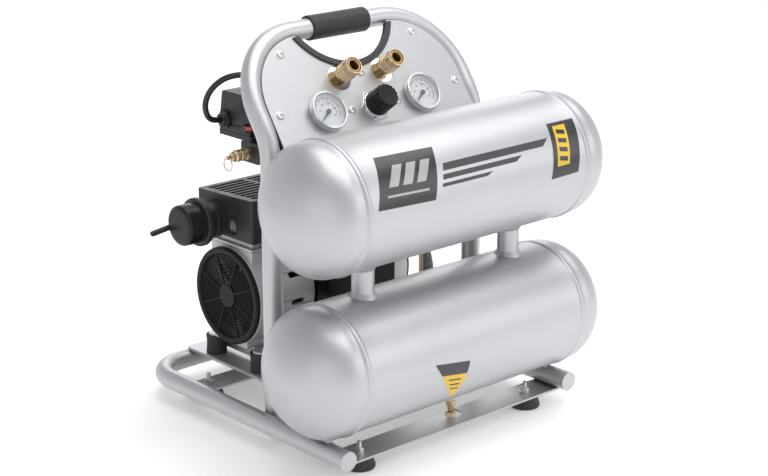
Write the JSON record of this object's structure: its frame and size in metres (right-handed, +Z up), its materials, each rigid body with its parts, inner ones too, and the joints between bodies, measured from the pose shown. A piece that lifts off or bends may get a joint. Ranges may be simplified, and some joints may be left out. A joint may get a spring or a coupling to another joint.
{
  "type": "air compressor",
  "caption": "Portable oil-free air compressor with stacked tanks in a tube frame, a leaning control panel with gauges, knob and couplers, and a piston pump behind.",
  "frame": {"origin": "on the floor, at the bottom centre of the whole object's box without its cord", "axes": "+Z up, -Y towards the operator and the control panel, +X to the operator's right"},
  "size_m": [0.51, 0.4508, 0.5135],
  "materials": {
    "tank_silver": "satin silver metallic paint",
    "frame_silver": "satin silver metallic paint",
    "zinc": "zinc plated",
    "grip_rubber": "moulded",
    "trim_rubber": "smooth",
    "foot_rubber": "moulded",
    "gauge_metal": "polished",
    "gauge_glass": "clear",
    "needle_black": "matt",
    "brass": "turned, clear coated",
    "spring_steel": "bright",
    "knob_black": "satin black",
    "switch_black": "fine grained",
    "cable_black": "smooth",
    "hose_braid": "grey braid over rubber",
    "cast_aluminium": "as cast, grained",
    "black_casting": "black paint on casting",
    "bare_aluminium": "as cast",
    "lamination": "black varnish",
    "copper": "enamelled copper wire",
    "shaft_steel": "ground",
    "plastic_black": "fine grained",
    "fan_plastic": "moulded",
    "button_red": "gloss"
  },
  "bodies": {
    "frame": {"upper_tank": "tank_silver", "lower_tank": "tank_silver", "tank_link_pipes": "tank_silver", "tank_brackets": "frame_silver", "base_rails": "frame_silver", "hoop_frame": "frame_silver", "base_crossmembers": "frame_silver", "rubber_feet": "foot_rubber", "frame_fasteners": "zinc", "handle_grip": "grip_rubber", "motor_plate": "frame_silver", "control_panel": "frame_silver", "panel_edge_trim": "trim_rubber", "panel_screws": "zinc", "gauge_bodies": "gauge_metal", "gauge_lenses": "gauge_glass", "regulator_body": "zinc", "regulator_spring": "spring_steel", "coupler_body_left": "brass", "coupler_body_right": "brass", "manifold": "black_casting", "safety_valve_body": "brass", "pressure_switch_base": "bare_aluminium", "pressure_switch_cover": "switch_black", "cable_glands": "switch_black", "motor_lead": "cable_black", "discharge_hose": "hose_braid", "hose_ends": "brass", "check_valve": "brass", "unloader_tube": "brass", "drain_valve": "brass", "crankcase_left": "cast_aluminium", "crankcase_right": "cast_aluminium", "bearings": "shaft_steel", "stator": "lamination", "windings": "copper", "cylinders": "cast_aluminium", "cylinder_heads": "bare_aluminium", "fan_cover_left": "plastic_black", "fan_cover_right": "plastic_black", "shroud": "plastic_black", "air_filter": "plastic_black", "filter_cap": "plastic_black", "pump_feet": "frame_silver", "rubber_mounts": "foot_rubber", "capacitor_box": "plastic_black"},
    "regulator_handle": {"regulator_knob": "knob_black"},
    "needle_left": {"gauge_needle_left": "needle_black"},
    "needle_right": {"gauge_needle_right": "needle_black"},
    "sleeve_left": {"coupler_sleeve_left": "brass"},
    "sleeve_right": {"coupler_sleeve_right": "brass"},
    "valve_stem": {"safety_valve_stem": "brass"},
    "valve_ring": {"safety_valve_ring": "zinc"},
    "lever": {"switch_lever": "button_red"},
    "drain_screw": {"drain_knob": "brass"},
    "crank": {"crank_rotor": "shaft_steel", "fans": "fan_plastic"},
    "left_piston": {"piston_left": "bare_aluminium"},
    "right_piston": {"piston_right": "bare_aluminium"},
    "reset": {"reset_button": "button_red"}
  },
  "joints": [
    {"name": "regulator_turn", "type": "hinge", "parent": "frame", "child": "regulator_handle", "pos_m": [0, -0.0304, 0.40818], "axis": [0, -0.8192, 0.5736], "range_deg": [0, 900]},
    {"name": "needle_left_turn", "type": "hinge", "parent": "frame", "child": "needle_left", "pos_m": [-0.079, -0.02885, 0.41039], "axis": [0, -0.8192, 0.5736], "range_deg": [-252, 0], "stiffness_Nm_per_rad": 0.0002},
    {"name": "needle_right_turn", "type": "hinge", "parent": "frame", "child": "needle_right", "pos_m": [0.079, -0.02885, 0.41039], "axis": [0, -0.8192, 0.5736], "range_deg": [-252, 0], "stiffness_Nm_per_rad": 0.0002},
    {"name": "sleeve_left_slide", "type": "slide", "parent": "frame", "child": "sleeve_left", "axis": [0, 0.8192, -0.5736], "range_m": [0, 0.004], "stiffness_N_per_m": 2500, "springref_m": -0.004},
    {"name": "sleeve_right_slide", "type": "slide", "parent": "frame", "child": "sleeve_right", "axis": [0, 0.8192, -0.5736], "range_m": [0, 0.004], "stiffness_N_per_m": 2500, "springref_m": -0.004},
    {"name": "valve_stem_pull", "type": "slide", "parent": "frame", "child": "valve_stem", "axis": [-1, 0, 0], "range_m": [0, 0.003], "stiffness_N_per_m": 3000, "springref_m": -0.002},
    {"name": "valve_ring_swing", "type": "hinge", "parent": "valve_stem", "child": "valve_ring", "pos_m": [-0.175, 0.04995, 0.353], "axis": [0, 1, 0], "range_deg": [-10, 85]},
    {"name": "switch_turn", "type": "hinge", "parent": "frame", "child": "lever", "pos_m": [-0.14, 0.05645, 0.3835], "axis": [1, 0, 0], "range_deg": [0, 40]},
    {"name": "drain_turn", "type": "hinge", "parent": "frame", "child": "drain_screw", "pos_m": [0.024, -0.14405, 0.014], "axis": [0, 0, 1], "range_deg": [0, 360]},
    {"name": "crank_spin", "type": "hinge", "parent": "frame", "child": "crank", "pos_m": [0.006, 0.12395, 0.1423], "axis": [1, 0, 0], "continuous": true},
    {"name": "left_piston_slide", "type": "slide", "parent": "frame", "child": "left_piston", "axis": [0, 0, 1], "range_m": [-0.007, 0.007]},
    {"name": "right_piston_slide", "type": "slide", "parent": "frame", "child": "right_piston", "axis": [0, 0, 1], "range_m": [-0.007, 0.007]},
    {"name": "reset_press", "type": "slide", "parent": "frame", "child": "reset", "axis": [-1, 0, 0], "range_m": [0, 0.0025], "stiffness_N_per_m": 800, "springref_m": -0.001}
  ],
  "couplings": [
    {"joint": "right_piston_slide", "follows": "left_piston_slide", "ratio": -1}
  ]
}
